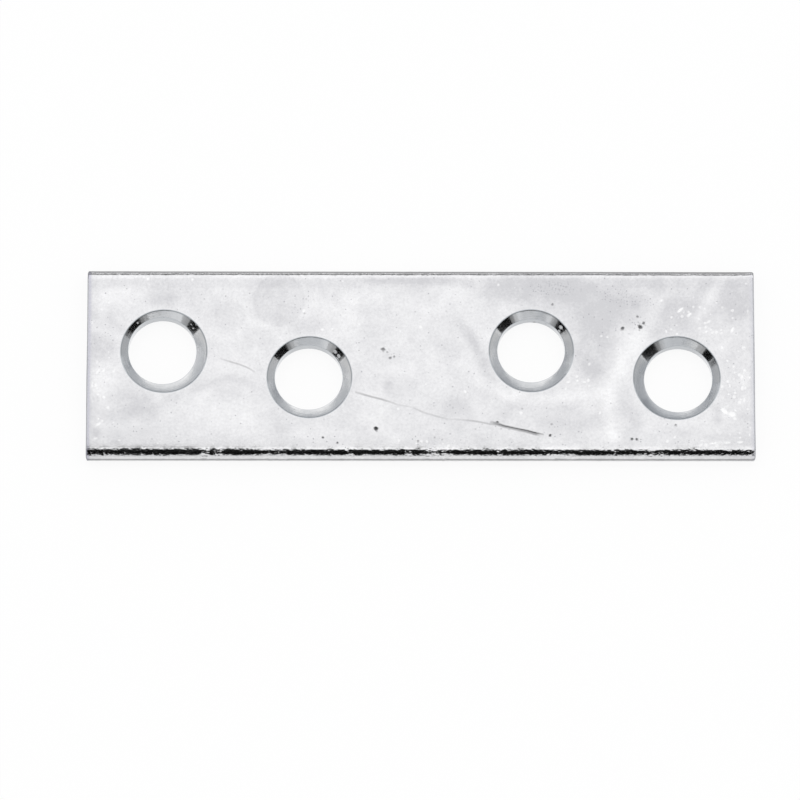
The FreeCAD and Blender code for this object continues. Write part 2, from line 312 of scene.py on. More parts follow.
# %% Distance to the nearest mark of any kind
def mark_distance(points):
    gaps = [along_line(points, line)[0] - width for width, _, line in SCRATCHES.values()]
    gaps += [from_place(points, x, y) - radius for x, y, radius, _ in PITS]
    for x, y, length, width, lean, _ in DENTS:
        gaps.append((inside_ellipse(points, x, y, length / 2, width / 2, lean) - 1) * width / 2)
    return np.min(gaps, axis=0)


print("At the plate's middle:", mark_distance(np.zeros((1, 2))).round(2), "mm")

# %% [markdown]
# ## The plate's mesh
#
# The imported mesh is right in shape, but it has a few long triangles on its flats, so nothing finer
# than the plate itself could be pressed into it. Subdividing it would only cut those triangles
# smaller, and a boolean for each scratch would be slow. So the surface is laid again, on the same
# form, as sheets of small faces: two flats filled with triangles, rolled long edges, rounded ends,
# and a turned skin in each hole. Sheets share their border points, and are welded into one shell.
#
# Both the strip's section and a hole's side are a line with rounded corners, so one function draws
# either. Corners are complex numbers, which turn a direction by a multiplication.

# %% A line with rounded corners
def rounded_line(corners, radii, arc_steps, run_steps):
    """From where the first corner's arc starts to where the last one's ends, corner by corner."""
    path = []
    for index, radius in enumerate(radii):
        before, corner, after = corners[index:index + 3]
        inward = (corner - before) / abs(corner - before)
        turn = np.angle((after - corner) / abs(after - corner) / inward)
        start = corner - inward * radius * math.tan(abs(turn) / 2)
        centre = start + 1j * np.sign(turn) * radius * inward
        arc = centre + (start - centre) * np.exp(1j * turn * np.linspace(0, 1, arc_steps[index] + 1))
        if path:
            shares = np.linspace(0, 1, run_steps[index - 1] + 1)[1:-1]
            path.extend(path[-1] + shares * (arc[0] - path[-1]))
        path.extend(arc)
    return np.array(path)


def stack(*columns):
    """Rows of points from their columns, where a column may be one number."""
    return np.column_stack(np.broadcast_arrays(*columns))


print("A corner rounded in 4 steps:", len(rounded_line([0, 1, 1 + 1j], [0.5], [4], [])), "places")

# %% The strip's rolled edge and a hole's side, as lines
UPPER_ARC_STEPS = 16
LOWER_ARC_STEPS = 6
EDGE_RUN_STEPS = 2


def edge_line(inset):
    """The +Y edge from face to underside, as y and z, drawn in by an inset on every side."""
    reach = HALF_WIDTH - inset
    corners = [0 + 1j * (THICKNESS - inset), reach + 1j * (THICKNESS - inset), reach + 1j * inset,
               0 + 1j * inset]
    radii = [EDGE_RADIUS - inset] * 2
    path = rounded_line(corners, radii, [UPPER_ARC_STEPS, LOWER_ARC_STEPS], [EDGE_RUN_STEPS])
    return stack(path.real, path.imag)


print("Rolled edge:", len(edge_line(0)), "places from", edge_line(0)[0], "to", edge_line(0)[-1])

# %% [markdown]
# ### A countersunk hole
#
# The drill leaves a straight bore, and the countersink a cone of 90 degrees. Tumbling and plating
# round the rim and the throat by about a tenth of a millimetre, and that small rounding is what
# draws the thin dark line round a real countersink, so it is modelled and not only painted.

# %% Roundings of a hole's side
RIM_RADIUS = 0.14
THROAT_RADIUS = 0.08
EXIT_RADIUS = 0.12
HOLE_SEGMENTS = 240
HOLE_TURNS = np.linspace(0, 2 * math.pi, HOLE_SEGMENTS, endpoint=False)
HOLE_ARC_STEPS = [4, 3, 3]
HOLE_RUN_STEPS = [14, 5]
print("Rings in one hole:", sum(HOLE_ARC_STEPS) + sum(HOLE_RUN_STEPS) + 1)

# %% [markdown]
# No countersink sits quite true over its bore: the cutter starts a tenth or two off, in mm, and
# sinks a little more or less. The cone keeps its 90 degrees, so where the bore comes nearer to the
# rim the cone ends higher up, and the ring looks narrower on that side. The rim and the bore of each
# hole have their own small drift: in x and y, how much wider they are, and how much less so along y.

# %% How each hole's cutters sat
HOLE_DRIFT = {
    "outer_left_hole": ((-0.016, -0.142, 0.020, 0.057), (-0.184, 0.086, 0.052, 0.040)),
    "inner_left_hole": ((0.049, -0.028, -0.055, 0.051), (-0.030, 0.137, 0.040, 0.125)),
    "inner_right_hole": ((-0.055, -0.087, -0.066, -0.010), (-0.060, 0.145, 0.022, 0.170)),
    "outer_right_hole": ((-0.024, -0.088, 0.036, 0.057), (0.134, 0.006, 0.048, 0.025)),
}


def drifted_circle(centre, radius, drift):
    """Centre x and y, radius along x and how much smaller it is along y."""
    x, y, wider, flatter = drift
    return centre[0] + x, centre[1] + y, radius + wider, flatter


drifts = [HOLE_DRIFT[mount["name"]] for mount in bores]
RIMS, BORES = (np.array([drifted_circle(centre, radius, drift[part])
                         for centre, drift in zip(HOLES, drifts)])
               for part, radius in enumerate((CONE_RADIUS, BORE_RADIUS)))
print("Rims at", RIMS[:, :2].round(2).tolist())

# %% How far the rim and the bore reach in each direction
def rim_reach(numbers, turns):
    """From the rim's centre, how far its corner is in each direction."""
    return RIMS[numbers, 2] - RIMS[numbers, 3] * np.sin(turns) ** 2


def bore_reach(numbers, turns):
    """From the rim's centre, how far the bore's wall is in each direction."""
    off_x, off_y = (BORES[numbers, :2] - RIMS[numbers, :2]).T
    along = off_x * np.cos(turns) + off_y * np.sin(turns)
    beside = off_y * np.cos(turns) - off_x * np.sin(turns)
    radius = BORES[numbers, 2] - BORES[numbers, 3] * np.sin(turns) ** 2
    return along + np.sqrt(radius ** 2 - beside ** 2)


print("The first rim reaches back", rim_reach(0, math.pi / 2).round(2), "mm")

# %% Rings of points down each hole
def hole_rings(number):
    """Points as rings by directions by x, y and z, from the face down to the underside."""
    x, y = RIMS[number, :2]
    numbers = np.full(HOLE_SEGMENTS, number)
    lines = []
    for turn, rim, reach in zip(HOLE_TURNS, rim_reach(numbers, HOLE_TURNS),
                                bore_reach(numbers, HOLE_TURNS)):
        corners = [2 * rim + 1j * THICKNESS, rim + 1j * THICKNESS,
                   reach + 1j * (THICKNESS - rim + reach), reach + 0j, 2 * reach + 0j]
        line = rounded_line(corners, [RIM_RADIUS, THROAT_RADIUS, EXIT_RADIUS],
                            HOLE_ARC_STEPS, HOLE_RUN_STEPS)
        lines.append(stack(x + line.real * math.cos(turn), y + line.real * math.sin(turn),
                           line.imag))
    return np.swapaxes(lines, 0, 1)


HOLE_RINGS = [hole_rings(number) for number in range(len(HOLES))]
print("Rings, directions and axes in the first hole:", HOLE_RINGS[0].shape)

# %% Faces over rows of points
def grid_faces(rows, columns, closed=False):
    """Four-sided faces over rows of points, joined round to the first column where closed."""
    numbers = np.arange(rows * columns).reshape(rows, columns)
    following = np.roll(numbers, -1, axis=1)
    if not closed:
        numbers, following = numbers[:, :-1], following[:, :-1]
    corners = [numbers[:-1], following[:-1], following[1:], numbers[1:]]
    return np.stack([corner.ravel() for corner in corners], axis=1)


print("Faces in one hole's skin:", len(grid_faces(len(HOLE_RINGS[0]), HOLE_SEGMENTS, True)))

# %% [markdown]
# ### Filling a flat
#
# A flat needs small faces where the marks are, and larger ones elsewhere. Points go on a lattice of
# equal triangles, in three sizes that halve towards a mark, and a Delaunay triangulation joins them
# with the border and the hole rings, which gives well-shaped triangles whatever the outline.

# %% A lattice of points, and triangles over it
WHOLE_HULL, MERGE_GAP = 0, 1e-7


def lattice(half_x, half_y, spacing):
    row_height = spacing * math.sqrt(3) / 2
    rows = np.arange(-half_y + row_height / 2, half_y, row_height)
    columns = np.arange(-half_x + spacing / 2, half_x, spacing)
    shifts = np.where(np.arange(len(rows)) % 2, spacing / 2, 0)
    x = columns[None, :] + shifts[:, None]
    y = np.broadcast_to(rows[:, None], x.shape)
    points = stack(x.ravel(), y.ravel())
    clear = (abs(points[:, 0]) < half_x - spacing / 3) & (abs(points[:, 1]) < half_y - spacing / 3)
    return points[clear]


def triangles_over(points, borders):
    """Triangles over all points, with each border's points joined in a closed line."""
    edges = []
    for start, count in borders:
        numbers = np.arange(start, start + count)
        edges += list(zip(numbers.tolist(), np.roll(numbers, -1).tolist()))
    places = [Vector(point) for point in points.tolist()]
    made = delaunay_2d_cdt(places, edges, [], WHOLE_HULL, MERGE_GAP)
    source = [old[0] for old in made[3]]
    return np.array([[source[corner] for corner in face] for face in made[2]])


print("Points in a 0.2 mm lattice:", len(lattice(HALF_LENGTH, HALF_WIDTH, 0.2)))

# %% Stations along the plate and across its ends
STATION_STEP = 0.12
CUT_STEPS = 6
FLAT_X = HALF_LENGTH - CUT_RADIUS
FLAT_Y = HALF_WIDTH - EDGE_RADIUS
x_stations = np.linspace(-FLAT_X, FLAT_X, round(2 * FLAT_X / STATION_STEP) + 1)
y_stations = np.linspace(-FLAT_Y, FLAT_Y, round(2 * FLAT_Y / STATION_STEP) + 1)
cut_turns = np.linspace(0, math.pi / 2, CUT_STEPS + 1)
cut_x = FLAT_X + CUT_RADIUS * np.sin(cut_turns)
cut_inset = CUT_RADIUS * (1 - np.cos(cut_turns))
print("Stations:", len(x_stations), "along,", len(y_stations), "across")

# %% How far a point of a flat is outside the nearest ring
def ring_distance(points, rings):
    gaps = []
    for number, ring in enumerate(rings):
        away = points - RIMS[number, :2]
        reach = np.hypot(*(ring - RIMS[number, :2]).T)
        turns = np.arctan2(away[:, 1], away[:, 0])
        gaps.append(np.hypot(*away.T) - np.interp(turns, HOLE_TURNS, reach, period=2 * math.pi))
    return np.min(gaps, axis=0)


CHORD_GAP = -2e-4
rim_rings = [rings[0, :, :2] for rings in HOLE_RINGS]
exit_rings = [rings[-1, :, :2] for rings in HOLE_RINGS]
print("Plate's middle to the nearest rim:", ring_distance(np.zeros((1, 2)), rim_rings)[0].round(3), "mm")

# %% A flat with its four holes
def flat_sheet(rings, height, finest):
    """The face or the underside: border, hole rings and lattice, as triangles at one height."""
    border = np.concatenate([
        stack(x_stations, -FLAT_Y), stack(FLAT_X, y_stations)[1:],
        stack(x_stations, FLAT_Y)[::-1][1:], stack(-FLAT_X, y_stations)[::-1][1:-1],
    ])
    inner = []
    for spacing, nearest, farthest in finest:
        points = lattice(FLAT_X, FLAT_Y, spacing)
        gap = mark_distance(points)
        gap[ring_distance(points, rings) < spacing / 2] = np.inf
        inner.append(points[(gap >= nearest) & (gap < farthest)])
    points = np.concatenate([border] + rings + inner)
    starts = [0] + [len(border) + HOLE_SEGMENTS * count for count in range(len(rings))]
    counts = [len(border)] + [HOLE_SEGMENTS] * len(rings)
    faces = triangles_over(points, list(zip(starts, counts)))
    middles = points[faces].mean(axis=1)
    faces = faces[ring_distance(middles, rings) > CHORD_GAP]
    return stack(*points.T, height), faces


BIG = 1000.0
FACE_LATTICES = [(0.22, 0.30, BIG), (0.11, 0.10, 0.30), (0.055, -BIG, 0.10)]
UNDERSIDE_LATTICES = [(0.60, -BIG, BIG)]
face_sheet = flat_sheet(rim_rings, THICKNESS, FACE_LATTICES)
underside_sheet = flat_sheet(exit_rings, 0.0, UNDERSIDE_LATTICES)
print("Triangles: face", len(face_sheet[1]), "underside", len(underside_sheet[1]))

# %% The two rolled edges, with their rounded ends
def long_edge(side):
    """One rolled edge as rows along the plate; the last rows at each end draw in with the cut."""
    rows = [(-x, inset) for x, inset in zip(cut_x[::-1], cut_inset[::-1])][:-1]
    rows += [(x, 0.0) for x in x_stations]
    rows += list(zip(cut_x, cut_inset))[1:]
    points = []
    for x, inset in rows:
        line = edge_line(inset)
        points.append(stack(x, side * line[:, 0], line[:, 1]))
    return np.concatenate(points), grid_faces(len(rows), len(points[0]))


edge_sheets = [long_edge(side) for side in (-1, 1)]
print("Faces in one rolled edge:", len(edge_sheets[0][1]))

# %% The rounding of the cut where it meets the face and the underside
def cut_strip(end, upper):
    rows = []
    for x, inset in zip(cut_x, cut_inset):
        height = THICKNESS - inset if upper else inset
        rows.append(stack(end * x, y_stations, height))
    return np.concatenate(rows), grid_faces(len(rows), len(y_stations))


cut_sheets = [cut_strip(end, upper) for end in (-1, 1) for upper in (False, True)]
print("Cut strips:", len(cut_sheets))

# %% [markdown]
# ### The cut ends
#
# A strip is cut to length in a shear. The blade smooths the first third of the thickness and the
# rest breaks away, which leaves fine upright ribs. Both ends are filled like the flats, from the
# same points as the roundings round them, so that ribs can be pressed in afterwards.

# %% End faces
def end_sheet(end):
    line = edge_line(CUT_RADIUS)
    upper, lower = stack(y_stations, THICKNESS - CUT_RADIUS), stack(y_stations, CUT_RADIUS)
    left = line[::-1] * (-1, 1)
    border = np.concatenate([upper[:-1], line[:-1], lower[::-1][:-1], left[:-1]])
    inner = lattice(FLAT_Y + EDGE_RADIUS - CUT_RADIUS, THICKNESS / 2 - CUT_RADIUS, STATION_STEP)
    inner = inner + (0, THICKNESS / 2)
    inner = inner[abs(inner[:, 0]) < FLAT_Y]
    points = np.concatenate([border, inner])
    faces = triangles_over(points, [(0, len(border))])
    return stack(end * HALF_LENGTH, *points.T), faces


end_sheets = [end_sheet(end) for end in (-1, 1)]
print("Triangles in one end:", len(end_sheets[0][1]))

# %% The skin of each hole
hole_sheets = [(rings.reshape(-1, 3), grid_faces(len(rings), HOLE_SEGMENTS, closed=True))
               for rings in HOLE_RINGS]
print("Hole skins:", len(hole_sheets))

# %% [markdown]
# ### One welded shell
#
# The sheets are joined where their border points fall on the same place, and each face keeps the
# number of its finish: rolled strip, drilled steel or cut end. If the weld is right, every edge has
# exactly two faces, so the script counts those that don't.

# %% Weld the sheets
FINISHES = ["rolled_strip", "drilled_steel", "cut_end"]
sheets = [(sheet, 0) for sheet in [face_sheet, underside_sheet] + edge_sheets]
sheets += [(sheet, 1) for sheet in hole_sheets]
sheets += [(sheet, 2) for sheet in end_sheets + cut_sheets]
WELD_PLACES = 4


def weld(sheets):
    """All points once, and every face with its finish, from sheets that share border places."""
    points = np.concatenate([sheet[0] for sheet, _ in sheets])
    keys = np.round(points, WELD_PLACES) + 0.0
    _, first, number = np.unique(keys, axis=0, return_index=True, return_inverse=True)
    number = number.ravel()
    faces, finishes, start = [], [], 0
    for (places, corners), finish in sheets:
        faces += number[corners + start].tolist()
        finishes += [finish] * len(corners)
        start += len(places)
    return points[first], faces, finishes


shell_points, shell_faces, shell_finishes = weld(sheets)
print("Welded:", len(shell_points), "points,", len(shell_faces), "faces")

# %% Make the mesh and turn every face outward
mesh = bpy.data.meshes.new("mending_plate_in_zinc")
mesh.from_pydata((shell_points * MM).tolist(), [], shell_faces)
mesh.polygons.foreach_set("material_index", shell_finishes)
welded = bmesh.new()
welded.from_mesh(mesh)
bmesh.ops.recalc_face_normals(welded, faces=welded.faces)
open_edges = sum(len(edge.link_faces) != 2 for edge in welded.edges)
triangle_count = sum(len(face.verts) - 2 for face in welded.faces)
welded.to_mesh(mesh)
welded.free()
mesh.shade_smooth()
print("Edges without two faces:", open_edges, "triangles:", triangle_count)

# %% [markdown]
# ## Pressing in the marks
#
# Every mark goes inward, so that the plate never outgrows its own size. Each point moves against
# its normal by the sum of what happened to it: the slow waves of a rolled strip, the lumpy skin of
# plated long edges, chatter from the countersink, ribs on the cut ends, scratches, pits and dents.

# %% Read the points and their normals
FACE_UPRIGHT = (0.90, 0.99)
EDGE_BLEND = 0.15
END_BLEND = (0.12, 0.02)
count = len(mesh.vertices)
places = np.empty(count * 3)
normals = np.empty(count * 3)
mesh.vertices.foreach_get("co", places)
mesh.vertices.foreach_get("normal", normals)
places = places.reshape(-1, 3) / MM
normals = normals.reshape(-1, 3)
across = places[:, :2]
upright = normals[:, 2]
left_side, near_side = (places[:, :2] < 0).T
from_left, from_right = HALF_LENGTH + places[:, 0], HALF_LENGTH - places[:, 0]
from_near, from_far = FLAT_Y + places[:, 1], FLAT_Y - places[:, 1]
from_end, from_edge = np.minimum(from_left, from_right), np.minimum(from_near, from_far)
on_face = soft_step(upright, *FACE_UPRIGHT)
on_edge = soft_step(from_edge, EDGE_BLEND, -EDGE_BLEND)
on_end = soft_step(from_end, *END_BLEND)
print("Share of points on the face:", on_face.mean().round(2))

# %% Where each point is in its nearest hole
RIM_BLEND = (0.35, 0.04)
hole_gaps = np.array([from_place(places, x, y) for x, y in RIMS[:, :2]])
nearest_hole = hole_gaps.argmin(axis=0)
from_axis = across - RIMS[nearest_hole, :2]
hole_gap = hole_gaps.min(axis=0)
hole_directions = from_axis / hole_gap[:, None]
clock = np.degrees(np.arctan2(from_axis[:, 0], from_axis[:, 1]))
turns = np.arctan2(from_axis[:, 1], from_axis[:, 0])
rim_radius = rim_reach(nearest_hole, turns)
in_hole = soft_step(hole_gap - rim_radius, *RIM_BLEND)
above_throat = places[:, 2] - (THICKNESS - rim_radius + bore_reach(nearest_hole, turns))
print("Share of points in holes:", in_hole.mean().round(2))

# %% Noise at a size in millimetres
SEED_STEPS = (7.1, 3.7, 1.9)
OCTAVE_FADE, OCTAVE_STEP = 1.0, 2.0


def rough(points, size, octaves, seed):
    """Smooth noise of about -1 to 1, whose bumps are a given size in millimetres."""
    shift = Vector([seed * step for step in SEED_STEPS])
    scale = 1 / np.broadcast_to(size, 3)
    return np.array([noise.fractal(Vector(point) + shift, OCTAVE_FADE, OCTAVE_STEP, octaves)
                     for point in (points * scale).tolist()])


def halved(values):
    """Noise of -1 to 1 brought to 0 to 1."""
    return 0.5 + 0.5 * values


def print_range(title, values, digits=2):
    print(title, "from", values.min().round(digits), "to", values.max().round(digits))


STRIP_WAVE = 5.0
EDGE_LUMP = (0.28, 0.20, 0.20)
strip_waves = rough(places, STRIP_WAVE, 3, seed=1)
edge_lumps = rough(places, EDGE_LUMP, 3, seed=2)
print_range("Waves", strip_waves)

# %% How lumpy and how grainy the long edges are
FAR_SHARE = 0.35


def near_share(least, rise, start, end):
    """On the near edge a share that rises where it turns up to the face, and one value elsewhere."""
    return np.where(near_side, least + rise * soft_step(upright, start, end), FAR_SHARE)


lump_share = near_share(least=0.2, rise=1.6, start=0.80, end=0.985)
patch_share = near_share(least=0.25, rise=0.75, start=0.72, end=0.93)
print("Lumps up to", lump_share.max().round(2), "patches up to", patch_share.max().round(2))

# %% Depth of the scratches, pits and dents; the scratches and pits are painted darker, and the dents get a painted highlight
SCRATCH_SHARE, SCRATCH_CURVE, SCRATCH_DARKENING = 0.68, 0.75, (1.8, 0.4)
PIT_RAGGED, PIT_DEPTH, PIT_FLOOR = 0.6, 0.6, 0.2
PIT_DARKNESS, PIT_DARKENING = 0.85, (1.5, 0.3)
DENT_DEPTH, DENT_REACH = 0.009, 1.2
DENT_HIGHLIGHT, DENT_HIGHLIGHT_BORDER = 0.7, (1.4, 0.5)
depth = np.zeros(count)
# One dark tint holds the scratches and pits, which are painted darker, and the painted shade under burrs
# in the holes.
grime = np.zeros(count)
burnish = np.zeros(count)
for width, deepest, line in SCRATCHES.values():
    gap, carried = along_line(across, line)
    strength = SCRATCH_SHARE * carried[:, 0] ** SCRATCH_CURVE * on_face
    depth += deepest * strength * soft_step(gap / width, 1, 0)
    grime = np.maximum(grime, strength * soft_step(gap / width, *SCRATCH_DARKENING))
for x, y, radius, strength in PITS:
    gap = from_place(places, x, y) * (1 + PIT_RAGGED * edge_lumps) / radius
    depth += PIT_DEPTH * radius * strength * on_face * soft_step(gap, 1, PIT_FLOOR)
    grime = np.maximum(grime, PIT_DARKNESS * strength * on_face * soft_step(gap, *PIT_DARKENING))
for x, y, length, width, lean, strength in DENTS:
    gap = inside_ellipse(across, x, y, length / 2, width / 2, lean)
    depth += DENT_DEPTH * strength * on_face * soft_step(gap, DENT_REACH, 0)
    # Each dent is pressed in and gets a painted highlight, a near-white patch in the colour.
    highlight = DENT_HIGHLIGHT * strength * on_face * soft_step(gap, *DENT_HIGHLIGHT_BORDER)
    burnish = np.maximum(burnish, highlight)
print("Deepest mark:", depth.max().round(3), "mm")

# %% Tone of the clouds, dried drops and flow marks
CLOUD_NOISE, CLOUD_NOISE_SIZE = 0.45, 2.4
CLOUD_BORDER = (1.35, 0.3)
DROP_FILL, DROP_BORDER = 0.6, (1.06, 0.94)
DROP_RING, DROP_RING_PLACE, DROP_RING_WIDTH = 0.4, 0.97, 0.08
DULLEST_TONE, BRIGHTEST_TONE = -1.5, 1.2
tone = CLOUD_NOISE * rough(places, CLOUD_NOISE_SIZE, 4, seed=3)
for *ellipse, shift in CLOUDS:
    tone += shift * soft_step(inside_ellipse(across, *ellipse), *CLOUD_BORDER)
for x, y, radius_x, radius_y, strength in DRIED_DROPS:
    gap = inside_ellipse(across, x, y, radius_x, radius_y, 0)
    ring = soft_step(abs(gap - DROP_RING_PLACE), DROP_RING_WIDTH, 0)
    tone -= strength * (DROP_FILL * soft_step(gap, *DROP_BORDER) + DROP_RING * ring)
for line in FLOW_MARKS:
    gap, carried = along_line(across, line)
    tone += carried[:, 1] * soft_step(gap, carried[:, 0], 0)
print_range("Tone with clouds and marks", tone)

# %% Along the borders, as a distance, where the shift starts and is whole, and the shift: a painted highlight by the near edge, painted shade by the far edge and the left end, and darker towards the right end
BORDER_SHADING = [
    (from_left, 1.6, 0.2, -0.6), (abs(from_far - 0.45), 0.60, 0.25, -0.35),
    (from_right, 3.2, 2.0, -0.2), (abs(from_near - 0.12), 0.22, 0.06, 0.6),
]
for gap, start, end, shift in BORDER_SHADING:
    tone += shift * soft_step(gap, start, end)
tone = np.clip(tone, DULLEST_TONE, BRIGHTEST_TONE)
print_range("Tone", tone)

# %% Depth of the strip's own skin
SKIN_START = 0.003
WAVE_DEPTH = 0.030
LUMP_DEPTH = 0.030
PATCH_BORDER = (1.3, 0.5)


def along_plate(x, half_length, border):
    """1 near a place along the plate, and 0 past a border that is given in half lengths."""
    return soft_step(abs(places[:, 0] - x) / half_length, *border)


patchy = np.zeros(count)
for x, half_length, roughness in EDGE_PATCHES:
    patchy = np.maximum(patchy, roughness * along_plate(x, half_length, PATCH_BORDER))
patchy *= near_side
skin = SKIN_START + WAVE_DEPTH * halved(strip_waves) * (1 - on_edge)
skin += LUMP_DEPTH * halved(edge_lumps * (lump_share + patch_share * patchy)) * on_edge
print("Skin depth up to", skin.max().round(3), "mm")

# %% Roll-over: the face sinks a little towards its long borders, by a ragged amount
ROLL_OVER = 0.25
ROLL_OVER_DEPTH = 0.0215
ROLL_OVER_SLOPE = 0.0007
ROLL_OVER_UPRIGHT = (0.1, 0.85)
RAGGED, RAGGED_SIZE = 1.5, (0.6, 3.0, 3.0)
SWELL_BORDER = (1.4, 0.4)
swell = 1 + RAGGED * rough(places, RAGGED_SIZE, 3, seed=6)
for x, half_length, shift in EDGE_SWELLS:
    swell += shift * along_plate(x, half_length, SWELL_BORDER)
rolled_over = soft_step(from_edge, ROLL_OVER, -ROLL_OVER) * soft_step(upright, *ROLL_OVER_UPRIGHT)
skin += (ROLL_OVER_DEPTH * swell - ROLL_OVER_SLOPE * places[:, 0]) * rolled_over
print("With roll-over up to", skin.max().round(3), "mm")

# %% Uneven shear and roll: how far the left end and the far edge are short of the full size
LEFT_SHORT = 0.05
FAR_SHORT = 0.035
FAR_SHORT_PER_MM = 0.0008
SIDEWAYS = (0.2, 0.9)
short = LEFT_SHORT * soft_step(-normals[:, 0], *SIDEWAYS) * left_side
short += (FAR_SHORT + FAR_SHORT_PER_MM * places[:, 0]) * soft_step(normals[:, 1], *SIDEWAYS)
print("Short by up to", short.max().round(3), "mm")

# %% Chatter, chips and painted light and shade in the holes
CHATTER_DEPTH, CHATTER_SIZE = 0.010, (0.55, 0.55, 1.6)
NEXT_HOLE = 11.0
RING_SHADING_BORDER = (1.2, 0.3)
CHIP_BORDER, CHIP_SHADE = (1.0, 0.4), (1.2, 0.5)
turned = np.column_stack([hole_directions * BORE_RADIUS, places[:, 2]])
chatter = rough(turned + nearest_hole[:, None] * NEXT_HOLE, CHATTER_SIZE, 3, seed=4)
depth_in_hole = SKIN_START + CHATTER_DEPTH * halved(chatter)
chipped = np.zeros(count)
# Where the last column is above 0, a dark dot is painted as shade under the burr; a chip with 0 only turns
# rough.
for x, y, z, radius, deepest, darkening in HOLE_CHIPS:
    gap = np.sqrt(((places - (x, y, z)) ** 2).sum(axis=1)) / radius
    depth_in_hole += deepest * soft_step(gap, 1, 0)
    chipped = np.maximum(chipped, (1 - darkening) * soft_step(gap, *CHIP_BORDER))
    grime = np.maximum(grime, darkening * soft_step(gap, *CHIP_SHADE))
hole_shift = np.zeros(count)
# Each entry paints light or shade into the cone's colour over a span of angles round one hole.
for number, middle, half_angle, shift in RING_SHADING_TABLE:
    aside = abs((clock - middle + 180) % 360 - 180)
    hole_shift += (nearest_hole == number) * shift * soft_step(aside / half_angle, *RING_SHADING_BORDER)
print("Depth in the holes up to", depth_in_hole.max().round(3), "mm")

# %% Ribs on the cut ends, and all the depths together
RIB_DEPTH, RIB_WAVE = 0.030, (5.0, 0.16, 2.5)
SMOOTH_SHARE = 0.25
BREAK_HEIGHTS = (0.72, 0.55)
ribs = rough(places, RIB_WAVE, 2, seed=5)
broken_away = soft_step(places[:, 2] / THICKNESS, *BREAK_HEIGHTS)
depth_on_end = RIB_DEPTH * halved(ribs) * (SMOOTH_SHARE + (1 - SMOOTH_SHARE) * broken_away)
depth += (skin + short) * (1 - in_hole)
depth += depth_in_hole * in_hole + depth_on_end * on_end
depth = np.maximum(depth, SKIN_START)
print_range("Depth in mm", depth, digits=4)

# %% How many specks and glints a place has
SPECKS_EVERYWHERE, GLINTS_EVERYWHERE = 0.03, 0.008
FIELD_BORDER = (1.3, 0.4)


def field_density(fields, everywhere):
    density = np.full(count, everywhere)
    for *ellipse, share in fields:
        inside = soft_step(inside_ellipse(across, *ellipse), *FIELD_BORDER)
        density = np.maximum(density, share * inside)
    return density * on_face


specks = field_density(SPECK_FIELDS, SPECKS_EVERYWHERE)
glints = field_density(GLINT_FIELDS, GLINTS_EVERYWHERE)
print("Specks up to", specks.max().round(2), "glints up to", glints.max().round(2))

# %% Painted shade along the ends, the rims and the throats, and the parts of a hole's side
END_SHADE_REACH, RIGHT_END_SHADE_SHARE = (0.50, 0.26), 0.35
RIM_LINE, THROAT_LINE, THROAT_SHARE = (0.12, 0.03), (0.08, 0.02), 0.75
WALL_BLEND = 0.04
BACK_WALL_SHADE_ANGLES = (75, 25)
# A band near each end is painted darker as painted shade, fully at the left end and less at the right.
cut_line = np.where(left_side, 1.0, RIGHT_END_SHADE_SHARE) * soft_step(from_end, *END_SHADE_REACH)
# The rounded rim and throat also get a painted dark line: painted shade on top of the real rounding.
rim_line = in_hole * soft_step(abs(places[:, 2] - THICKNESS), *RIM_LINE)
throat_line = in_hole * soft_step(abs(above_throat), *THROAT_LINE)
bore_wall = in_hole * soft_step(above_throat, WALL_BLEND, -WALL_BLEND)
# The back of each bore wall is painted darker: painted shade.
back_wall = bore_wall * soft_step(abs(clock), *BACK_WALL_SHADE_ANGLES)
print("Share of points on bore walls:", bore_wall.mean().round(2))

# %% Move the points and keep the tints
moved = (places - normals * depth[:, None]) * MM
mesh.vertices.foreach_set("co", moved.ravel())
tints = {
    "tone": tone,
    "grime": grime,
    "burnish": burnish,
    "specks": specks,
    "glints": glints,
    "long_edge": on_edge,
    "worn_line": np.maximum(rim_line, THROAT_SHARE * throat_line),
    "bore_wall": bore_wall,
    "back_wall": back_wall,
    "hole_shift": halved(np.clip(hole_shift, -1, 1)),
    "chipped": chipped,
    "edge_grain": on_edge * patch_share * halved(patchy),
    "cut_line": cut_line,
}
for name, values in tints.items():
    mesh.attributes.new(name, "FLOAT", "POINT").data.foreach_set("value", values)
mesh.attributes.new("turned", "FLOAT_VECTOR", "POINT").data.foreach_set("vector", turned.ravel())
mesh.update()
print("Tints kept:", ", ".join(tints))

# %% [markdown]
# ## The plate takes the solid's place
#
# The new shell is one piece on the plate's only body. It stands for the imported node, which stays
# hidden for collision, and it takes its finish from the same slot of the record.

# %% The plate as a piece
def place_object(name, data):
    made = bpy.data.objects.new(name, data)
    bpy.context.collection.objects.link(made)
    return made


plate = place_object("mending_plate_in_zinc", mesh)
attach(plate, "root")
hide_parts("mending_plate")
print("Piece:", plate.name)

# %% [markdown]
# ## Colours and nodes
#
# Colours are picked as sRGB hex values, as a colour card gives them. The renderer works with light
# itself, which is linear, so one function turns them. One other function adds a node with its
# settings and links: a node's inputs are given by name or number, as plain values or as the output
# of another node. The few kinds of node that come up again and again have a short form each.

# %% Colours, nodes and sizes
def linear(code):
    """An sRGB hex code as linear red, green, blue and alpha."""
    parts = [int(code[start:start + 2], 16) / 255 for start in (1, 3, 5)]
    return tuple(part / 12.92 if part <= 0.04045 else ((part + 0.055) / 1.055) ** 2.4
                 for part in parts) + (1.0,)


def add(tree, kind, inputs=None, **settings):
    """Add one node to a tree, set what it is set to, and link or fill its inputs."""
    made = tree.nodes.new(kind)
    for name, value in settings.items():
        setattr(made, name, value)
    for name, value in (inputs or {}).items():
        if isinstance(value, bpy.types.NodeSocket):
            tree.links.new(value, made.inputs[name])
        else:
            made.inputs[name].default_value = value
    return made


def per(size):
    """The texture scale that makes a pattern's cells a given size in millimetres."""
    return 1 / (size * MM)


print("Mid grey #808080 is", round(linear("#808080")[0], 3), "in linear light")

